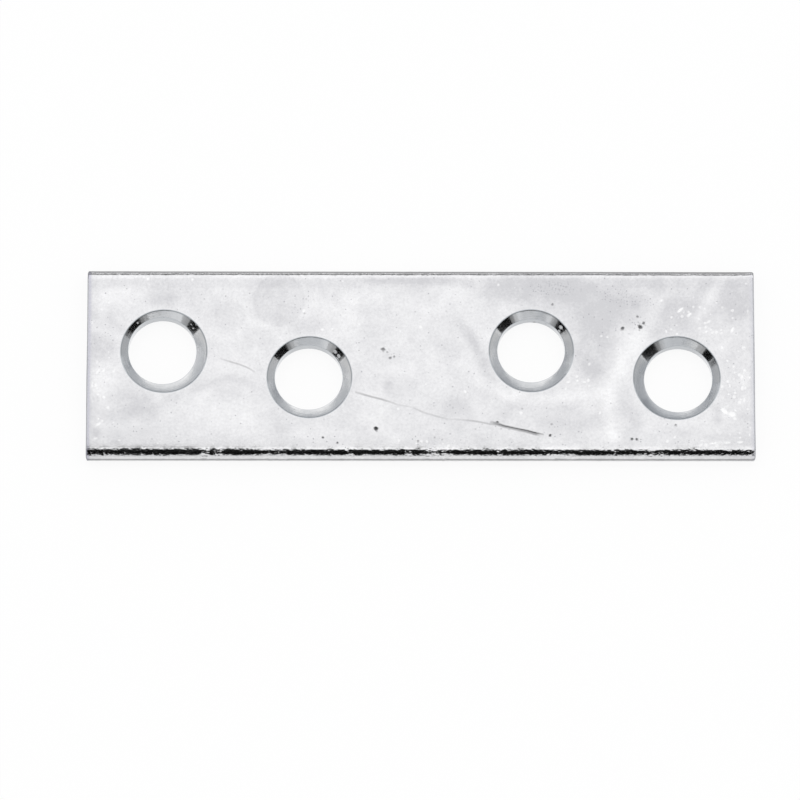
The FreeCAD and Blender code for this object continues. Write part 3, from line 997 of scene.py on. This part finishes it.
# %% Short forms of the nodes that come up again
def calculate(tree, operation, *values, clamp=False):
    """Arithmetic on two or three values."""
    return add(tree, "ShaderNodeMath", dict(enumerate(values)), operation=operation,
               use_clamp=clamp).outputs[0]


def mix(tree, share, first, second):
    """Blend two colours, each a hex code or the output of another node."""
    first, second = (linear(end) if isinstance(end, str) else end for end in (first, second))
    return add(tree, "ShaderNodeMix", {0: share, 6: first, 7: second}, data_type="RGBA").outputs[2]


def rescale(tree, value, low, high, start=0.0, end=1.0):
    """Carry a value that runs from start to end over to low and high."""
    ends = {"From Min": start, "From Max": end, "To Min": low, "To Max": high}
    return add(tree, "ShaderNodeMapRange", {"Value": value, **ends}).outputs[0]


def pattern(tree, place, scale, detail, roughness):
    """Smooth noise over a place."""
    settings = {"Scale": scale, "Detail": detail, "Roughness": roughness}
    return add(tree, "ShaderNodeTexNoise", {"Vector": place, **settings}).outputs["Fac"]


def bump(tree, height, strength, distance, **under):
    """Lean the surface by a height, whose full depth is given in millimetres."""
    settings = {"Height": height, "Strength": strength, "Distance": distance * MM, **under}
    return add(tree, "ShaderNodeBump", settings).outputs[0]


print("A pattern of 1 mm has the scale", per(1))

# %% Start and finish a material
METALLIC = 1.0


def start_material(name):
    material = bpy.data.materials.new(name)
    material.use_nodes = True
    material.node_tree.nodes.clear()
    return material, material.node_tree


def tint(tree, name):
    return add(tree, "ShaderNodeAttribute", attribute_name=name).outputs["Fac"]


def finish_metal(tree, colour, roughness, normal):
    settings = {"Base Color": colour, "Metallic": METALLIC, "Roughness": roughness,
                "Normal": normal}
    surface = add(tree, "ShaderNodeBsdfPrincipled", settings)
    add(tree, "ShaderNodeOutputMaterial", {"Surface": surface.outputs[0]})


print("Every finish has metallic", METALLIC)

# %% [markdown]
# ## Zinc on rolled strip
#
# The face is rolled mild steel under bright blue-white electroplated zinc, a few thousandths of a
# millimetre thick. Zinc is a metal, so it has no colour of its own under the gloss: metallic is 1,
# and the base colour says how much of the studio it sends back, which is a little more blue than
# red. The plating levels the surface but keeps the grain of the rolls, so reflections are soft at a
# roughness of about 0.3. The clouds, the pits, the painted highlights on the dents and glints, and
# the painted light and shade along the borders come from the mesh's tints.

# %% Zinc on rolled strip: tone
CLOUD_SIZE, GRAIN_SIZE = 1.1, 0.24
TONE_WEIGHT, CLOUD_WEIGHT, GRAIN_WEIGHT = 0.34, 0.52, 0.55
TONE_MIDDLE = 0.5
TONE_RANGE = (0.55, 1.53)
DULL_ZINC, BRIGHT_ZINC = "#C8C8CB", "#F2F2F3"
strip_zinc, tree = start_material("bright_zinc_on_rolled_strip")
place = add(tree, "ShaderNodeTexCoord").outputs["Object"]
clouds = pattern(tree, place, per(CLOUD_SIZE), detail=5.0, roughness=0.6)
grain = pattern(tree, place, per(GRAIN_SIZE), detail=2.0, roughness=0.5)
# The tone holds the clouds, drops and flow marks, and the painted highlight and painted shade along the
# borders.
shade = calculate(tree, "MULTIPLY_ADD", tint(tree, "tone"), TONE_WEIGHT, TONE_MIDDLE)
shade = calculate(tree, "MULTIPLY_ADD", clouds, CLOUD_WEIGHT, shade)
shade = calculate(tree, "MULTIPLY_ADD", grain, GRAIN_WEIGHT, shade)
colour = mix(tree, rescale(tree, shade, 0.0, 1.0, *TONE_RANGE), DULL_ZINC, BRIGHT_ZINC)
print("Zinc tones from", DULL_ZINC, "to", BRIGHT_ZINC)

# %% [markdown]
# Specks of dirt and tiny bright glints are far too many for a table. Each is a round spot in one
# cell of a pattern, and a cell holds a spot only where its own random number is below the density
# that the mesh keeps for that place. Between the specks, faint blotches follow the grain.

# %% Zinc on rolled strip: specks and marks
SPOT_SIZES, SPOT_BORDER = (0.6, 1.4), 6.0


def spots(tree, place, density, cell, radius):
    """1 inside the spots and 0 outside, from a pattern of cells seen from above."""
    cells = add(tree, "ShaderNodeTexVoronoi", {"Vector": place, "Scale": per(cell)},
                voronoi_dimensions="2D")
    drawn = add(tree, "ShaderNodeSeparateColor", {"Color": cells.outputs["Color"]})
    held = calculate(tree, "LESS_THAN", drawn.outputs[0], density)
    size = rescale(tree, drawn.outputs[1], *(radius / cell * share for share in SPOT_SIZES))
    inside = calculate(tree, "SUBTRACT", size, cells.outputs["Distance"])
    soft = calculate(tree, "MULTIPLY", inside, SPOT_BORDER, clamp=True)
    return calculate(tree, "MULTIPLY", soft, held)


SPECK_CELL, SPECK_RADIUS = 0.24, 0.050
GLINT_CELL, GLINT_RADIUS, GLINT_SHARE = 0.50, 0.150, 0.42
BLOTCH_SHARE, BLOTCH_GRAIN = 0.55, (0.50, 0.66)
DARK_MARKS_AND_SHADE_COLOUR = "#303034"
specks_here, glints_here = tint(tree, "specks"), tint(tree, "glints")
speck_spots = spots(tree, place, specks_here, SPECK_CELL, SPECK_RADIUS)
glint_spots = spots(tree, place, glints_here, GLINT_CELL, GLINT_RADIUS)
blotches = rescale(tree, grain, 0.0, BLOTCH_SHARE, *BLOTCH_GRAIN)
darkening = calculate(tree, "MAXIMUM", speck_spots, calculate(tree, "MULTIPLY", blotches, specks_here))
soft_glints = calculate(tree, "MULTIPLY", glint_spots, GLINT_SHARE)
highlight = calculate(tree, "MAXIMUM", tint(tree, "burnish"), soft_glints)
# Over the zinc go a band of painted shade near the ends, the scratches and pits painted darker with
# painted shade under burrs, specks of dirt, and a painted highlight on the dents and glints.
for share, over in [(tint(tree, "cut_line"), "#BEBEC8"), (tint(tree, "grime"), DARK_MARKS_AND_SHADE_COLOUR),
                    (darkening, "#9A9AA0"), (highlight, "#FCFCFC")]:
    colour = mix(tree, share, colour, over)
print("Specks of", 2 * SPECK_RADIUS, "mm, glints of", 2 * GLINT_RADIUS, "mm")

# %% Zinc on rolled strip: gloss and grain
ROLL_LINE = (6.0, 0.14, 0.14)
FACE_ROUGHNESS, EDGE_ROUGHNESS = 0.27, 0.16
EDGE_GRAIN_SIZE = 0.20
GRAIN_HEIGHT, ROLL_LINE_HEIGHT, EDGE_GRAIN_HEIGHT = 0.012, 0.004, 0.08
stretched = add(tree, "ShaderNodeMapping", {"Vector": place, "Scale": tuple(map(per, ROLL_LINE))})
roll_lines = pattern(tree, stretched.outputs[0], 1.0, detail=3.0, roughness=0.6)
gloss = rescale(tree, tint(tree, "long_edge"), FACE_ROUGHNESS, EDGE_ROUGHNESS)
edge_grain = pattern(tree, place, per(EDGE_GRAIN_SIZE), detail=1.0, roughness=0.5)
edge_grain = calculate(tree, "MULTIPLY", edge_grain, tint(tree, "edge_grain"))
normal = bump(tree, grain, strength=0.5, distance=GRAIN_HEIGHT)
normal = bump(tree, roll_lines, strength=0.5, distance=ROLL_LINE_HEIGHT, Normal=normal)
normal = bump(tree, edge_grain, strength=1.0, distance=EDGE_GRAIN_HEIGHT, Normal=normal)
finish_metal(tree, colour, gloss, normal)
print("Made", strip_zinc.name)

# %% [markdown]
# ## Zinc on drilled steel
#
# A countersink turns a cone that is cleaner than the face, with fine rings round the hole and a few
# flats where the cutter chattered. The bath reaches into a hole less well, so the zinc is thinner
# and greyer there. The rings follow the hole because the mesh keeps, for each point, where it is
# round its own hole: the pattern is stretched far round the hole and squeezed along it.

# %% Zinc on drilled steel
RING_STRETCH, RING_SIZE, RING_HEIGHT = 0.8, 0.10, 0.006
FLATS_SCALE, FLATS_WEIGHT = 1.6, 0.25
HOLE_ROUGHNESS, WALL_ROUGHNESS, CHIP_ROUGHNESS = 0.13, 0.3, 0.8
hole_zinc, tree = start_material("thin_zinc_on_drilled_steel")
turned_place = add(tree, "ShaderNodeAttribute", attribute_name="turned").outputs["Vector"]
ring_place = add(tree, "ShaderNodeMapping",
                 {"Vector": turned_place, "Scale": (RING_STRETCH, RING_STRETCH, 1 / RING_SIZE)})
rings = pattern(tree, ring_place.outputs[0], 1.0, detail=3.0, roughness=0.6)
flats = pattern(tree, turned_place, FLATS_SCALE, detail=3.0, roughness=0.55)
shade = calculate(tree, "MULTIPLY_ADD", flats, FLATS_WEIGHT, -FLATS_WEIGHT / 2)
# The painted light and shade round the ring goes into the cone's tone here.
shade = calculate(tree, "ADD", shade, tint(tree, "hole_shift"), clamp=True)
colour = mix(tree, shade, "#C2C5C9", "#FFFFFF")
# Over the hole's zinc go a lighter bore wall, its back painted darker as painted shade, painted shade on
# the rim and throat lines, and the dark marks with painted shade under burrs.
for name, over in [("bore_wall", "#EEEFF1"), ("back_wall", "#BCBFC3"), ("worn_line", "#B8BCC0"),
                   ("grime", DARK_MARKS_AND_SHADE_COLOUR)]:
    colour = mix(tree, tint(tree, name), colour, over)
gloss = rescale(tree, tint(tree, "bore_wall"), HOLE_ROUGHNESS, WALL_ROUGHNESS)
gloss = rescale(tree, tint(tree, "chipped"), gloss, CHIP_ROUGHNESS)
finish_metal(tree, colour, gloss, bump(tree, rings, strength=0.6, distance=RING_HEIGHT))
print("Made", hole_zinc.name)

# %% [markdown]
# ## Zinc on the cut ends
#
# The sheared ends took the same zinc over a torn surface. Plating can't level ribs of a tenth of a
# millimetre, so the ends scatter more light than the face: rougher, a little greyer, and with a
# strong fine grain that runs upright.

# %% Zinc on the cut ends
RIB_SIZE, RIB_HEIGHT = (1.0, 0.09, 0.8), 0.02
END_ROUGHNESS = 0.38
end_zinc, tree = start_material("zinc_on_sheared_end")
place = add(tree, "ShaderNodeTexCoord").outputs["Object"]
ribbed = add(tree, "ShaderNodeMapping", {"Vector": place, "Scale": tuple(map(per, RIB_SIZE))})
rib_grain = pattern(tree, ribbed.outputs[0], 1.0, detail=4.0, roughness=0.65)
colour = mix(tree, rib_grain, "#BFC1C8", "#E2E2E6")
normal = bump(tree, rib_grain, strength=0.6, distance=RIB_HEIGHT)
finish_metal(tree, colour, END_ROUGHNESS, normal)
for finish, material in zip(FINISHES, [strip_zinc, hole_zinc, end_zinc]):
    mesh.materials.append(material)
    print(finish, "is", material.name)

# %% [markdown]
# ## Floor and background
#
# The plate lies on a plain white table in front of nothing. A white object under plain light never
# quite reaches white, so for the camera and for reflections most of the floor's brightness is its
# own. The rest is an ordinary matt white that still takes the plate's soft shadow.

# %% Floor
FLOOR_HALF = 2.0
FLOOR_GLOW = 0.88
SQUARE = [(-1, -1), (1, -1), (1, 1), (-1, 1)]


def seen_share(tree):
    """1 for what the camera sees, itself or in a mirror, and 0 for light on its way to a surface."""
    path = add(tree, "ShaderNodeLightPath")
    seen = calculate(tree, "MAXIMUM", path.outputs["Is Camera Ray"], path.outputs["Is Glossy Ray"])
    return calculate(tree, "MAXIMUM", seen, path.outputs["Is Transmission Ray"])


def sheet_object(name, corners, material):
    """One flat sheet of the studio, which is no part of the plate."""
    sheet_mesh = bpy.data.meshes.new(name)
    sheet_mesh.from_pydata(corners, [], [(0, 1, 2, 3)])
    sheet_mesh.materials.append(material)
    made = place_object(name, sheet_mesh)
    made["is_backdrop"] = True
    return made


floor_white, tree = start_material("matt_white_table")
glow_share = calculate(tree, "MULTIPLY", seen_share(tree), FLOOR_GLOW)
matt = add(tree, "ShaderNodeBsdfDiffuse", {"Color": linear("#FEFEFE")})
glow = add(tree, "ShaderNodeEmission", {"Color": linear("#FFFFFF"), "Strength": 1.0})
mixed = add(tree, "ShaderNodeMixShader",
            {0: glow_share, 1: matt.outputs[0], 2: glow.outputs[0]})
add(tree, "ShaderNodeOutputMaterial", {"Surface": mixed.outputs[0]})
sheet_object("floor", [(FLOOR_HALF * x, FLOOR_HALF * y, 0) for x, y in SQUARE], floor_white)
print("Floor made,", 2 * FLOOR_HALF, "m wide")

# %% World
WORLD_LIGHT = 0.85
world = bpy.data.worlds.new("white_studio")
bpy.context.scene.world = world
world.use_nodes = True
tree = world.node_tree
tree.nodes.clear()
fill = add(tree, "ShaderNodeBackground", {"Color": linear("#FFFFFF"), "Strength": WORLD_LIGHT})
white = add(tree, "ShaderNodeBackground", {"Color": linear("#FFFFFF"), "Strength": 1.0})
mixed = add(tree, "ShaderNodeMixShader",
            {0: seen_share(tree), 1: fill.outputs[0], 2: white.outputs[0]})
add(tree, "ShaderNodeOutputWorld", {"Surface": mixed.outputs[0]})
print("World made, light", WORLD_LIGHT)

# %% [markdown]
# ## Cards and lamp
#
# Bright metal shows nothing but what stands around it. In an all-white room its edges vanish, so a
# photographer hangs black and grey cards: each one appears as a dark line where the plate's edge or
# a cone mirrors it. The cards here are seen in reflections only. They cast no shadow and the camera
# looks past them. A card is given by where it hangs, as the camera's azimuth and elevation are, by
# the two angles it fills as seen from the plate, by how bright it is, and by how far off it hangs.

# %% A card
def make_card(name, corners, level):
    paper, tree = start_material(name + "_paper")
    light = add(tree, "ShaderNodeEmission", {"Color": (level, level, level, 1.0), "Strength": 1.0})
    add(tree, "ShaderNodeOutputMaterial", {"Surface": light.outputs[0]})
    made = sheet_object(name, corners, paper)
    made.visible_camera = made.visible_diffuse = made.visible_shadow = False
    made.visible_transmission = made.visible_volume_scatter = False
    return made


def far_card(name, azimuth, elevation, width_angle, height_angle, level, distance):
    turn, rise = math.radians(azimuth), math.radians(elevation)
    away = Vector((math.sin(turn) * math.cos(rise), -math.cos(turn) * math.cos(rise),
                   math.sin(rise)))
    side = Vector((math.cos(turn), math.sin(turn), 0))
    half_width, half_height = (distance * math.tan(math.radians(angle / 2))
                               for angle in (width_angle, height_angle))
    corners = [away * distance + side * half_width * s + away.cross(side) * half_height * t
               for s, t in SQUARE]
    return make_card(name, corners, level)


print("A card of 20 degrees at 1 m is", round(2 * math.tan(math.radians(10)), 2), "m wide")

# %% Hang the cards
CARDS = {
    "right_black_card": (55.25, 10, 28.5, 24, 0.0, 1.0),
    "left_black_card": (-60, 10, 20, 24, 0.0, 1.0),
    "right_soft_card": (37.5, 10, 7, 24, 0.30, 1.0),
    "right_softer_card": (30.75, 10, 6.5, 24, 0.62, 1.0),
    "left_soft_card": (-46, 10, 8, 24, 0.42, 1.0),
    "left_softer_card": (-39, 10, 6, 24, 0.54, 1.0),
    "front_grey_card": (0, 12, 104, 22, 0.94, 1.1),
    "right_low_grey_card": (92, 6, 40, 16, 0.63, 1.1),
    "left_low_grey_card": (-92, 6, 40, 16, 0.63, 1.1),
    "top_grey_card": (0, 77.5, 32, 9, 0.80, 1.1),
    "ceiling_white_card": (180, 73, 90, 42, 1.15, 1.2),
    "back_white_card": (180, 40, 90, 34, 1.25, 1.1),
    "back_black_card": (180, 8, 90, 18, 0.20, 1.0),
    "left_grey_card": (-90, 36, 40, 44, 0.62, 1.0),
    "right_grey_card": (90, 36, 40, 44, 0.62, 1.0),
}
for name, settings in CARDS.items():
    far_card(name, *settings)
print("Cards hung:", len(CARDS))

# %% [markdown]
# The long edge that faces the camera mirrors what is low over the table in front of it. Three flags
# hang 10 mm over the table there, side by side: a pale one and a grey one over the plate's border,
# which soften the top of the dark line, and a black one in front. A fourth, black and higher, goes
# on where the edge mirrors lower places. Each is given by two tilts from upright, as the edge sees
# it, its height, half its length and how bright it is, and all are turned a little, because the
# dark line widens from one end to the other. On the table round the plate lie dark strips that only
# reflections see: they are painted shade of the table next to the plate, and draw its outline.

# %% Flags over the table
def flat_card(name, x0, y0, x1, y1, height, level):
    corners = [(x * MM, y * MM, height * MM) for x, y in ((x0, y0), (x1, y0), (x1, y1), (x0, y1))]
    return make_card(name, corners, level)


EDGE_PLACE = -8.05
FLAG_TURN = -0.8
FLAGS = {
    "pale_flag": (-8, -4, 10, 34, 0.6),
    "grey_flag": (-4, 0, 10, 34, 0.22),
    "low_black_flag": (0, 45, 10, 34, 0.0),
    "high_black_flag": (40, 71, 35, 46, 0.0),
}
for name, (near, far, height, half, level) in FLAGS.items():
    y0, y1 = (EDGE_PLACE - (height - THICKNESS) * math.tan(math.radians(tilt)) for tilt in (far, near))
    flag = flat_card(name, -half, y0, half, y1, height, level)
    flag.rotation_euler.z = math.radians(FLAG_TURN)
print("Flags hung:", ", ".join(FLAGS))

# %% Strips of painted shade on the table, seen in reflections only
SHADE_STRIP_GAP = 0.25
SHADE_STRIP_WIDTH, FRONT_SHADE_STRIP_WIDTH = 9.0, 2.1
SHADE_STRIP_HEIGHT = 0.02
inner_x, inner_y = HALF_LENGTH + SHADE_STRIP_GAP, HALF_WIDTH + SHADE_STRIP_GAP
outer_x, outer_y = inner_x + SHADE_STRIP_WIDTH, inner_y + SHADE_STRIP_WIDTH
SHADE_STRIPS = {
    "back_tape": (-outer_x, inner_y, outer_x, outer_y, SHADE_STRIP_HEIGHT, 0.45),
    "front_tape": (-outer_x, -inner_y - FRONT_SHADE_STRIP_WIDTH, outer_x, -inner_y, SHADE_STRIP_HEIGHT, 0.50),
    "left_tape": (-outer_x, -inner_y, -inner_x, inner_y, SHADE_STRIP_HEIGHT, 0.45),
    "right_tape": (inner_x, -inner_y, outer_x, inner_y, SHADE_STRIP_HEIGHT, 0.60),
}
for name, settings in SHADE_STRIPS.items():
    flat_card(name, *settings)
print("Tape laid:", ", ".join(SHADE_STRIPS))

# %% Lamp
LAMP_SIZE = (1.4, 0.35)
LAMP_PLACE = (0, 0.23, 1.0)
LAMP_POWER = 1.77
lamp_data = bpy.data.lights.new("overhead_softbox", "AREA")
lamp_data.shape = "RECTANGLE"
lamp_data.size, lamp_data.size_y = LAMP_SIZE
lamp_data.energy = LAMP_POWER
lamp = place_object("overhead_softbox", lamp_data)
lamp.location = LAMP_PLACE
lamp.visible_camera = lamp.visible_glossy = False
print("Lamp power:", LAMP_POWER, "W")

# %% [markdown]
# ## Camera
#
# The picture looks down steeply on the plate from far away, which is how a catalogue shows a flat
# part: nearly in plan, with a glimpse of the front edge. A long lens at 0.6 m gives that. Height,
# aim and the very slight roll were worked out from the plate's corners and the rims of its holes.

# %% Camera
CAMERA_ELEVATION = 76.323
CAMERA_ROLL = 0.038
CAMERA_DISTANCE = 599.75
CAMERA_AIM = (-1.832, -3.147, 1.0)
PICTURE_WIDTH = 800
FOCAL_PIXELS = 6686.85
SENSOR_WIDTH = 36.0
CLIP_NEAR, CLIP_FAR = 0.01, 100.0
rise = math.radians(CAMERA_ELEVATION)
roll = math.radians(CAMERA_ROLL)
looking = Vector((0, math.cos(rise), -math.sin(rise)))
level_right = Vector((1, 0, 0))
level_up = level_right.cross(looking)
right = level_right * math.cos(roll) + level_up * math.sin(roll)
up = level_up * math.cos(roll) - level_right * math.sin(roll)
camera_data = bpy.data.cameras.new("camera")
camera_data.sensor_width = SENSOR_WIDTH
camera_data.lens = FOCAL_PIXELS / PICTURE_WIDTH * SENSOR_WIDTH
camera_data.clip_start, camera_data.clip_end = CLIP_NEAR, CLIP_FAR
camera = place_object("camera", camera_data)
turned_to = Matrix((right, up, -looking)).transposed().to_4x4()
stands_at = (Vector(CAMERA_AIM) - looking * CAMERA_DISTANCE) * MM
camera.matrix_world = Matrix.Translation(stands_at) @ turned_to
bpy.context.scene.camera = camera
bpy.context.scene.view_settings.view_transform = "Standard"
print("Lens:", round(camera_data.lens, 1), "mm")

# %% [markdown]
# ## Sizes at the end
#
# The dressed plate must not outgrow the solid, so how far it reaches beyond the solid's box is printed.

# %% Print how far the plate reaches beyond the solid's box
visual_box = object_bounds()
grown = [max(c0 - v0, v1 - c1) / MM for c0, c1, v0, v1 in zip(*cad_box, *visual_box)]
print("Beyond the solid's box, in mm:", [round(side, 4) for side in grown])
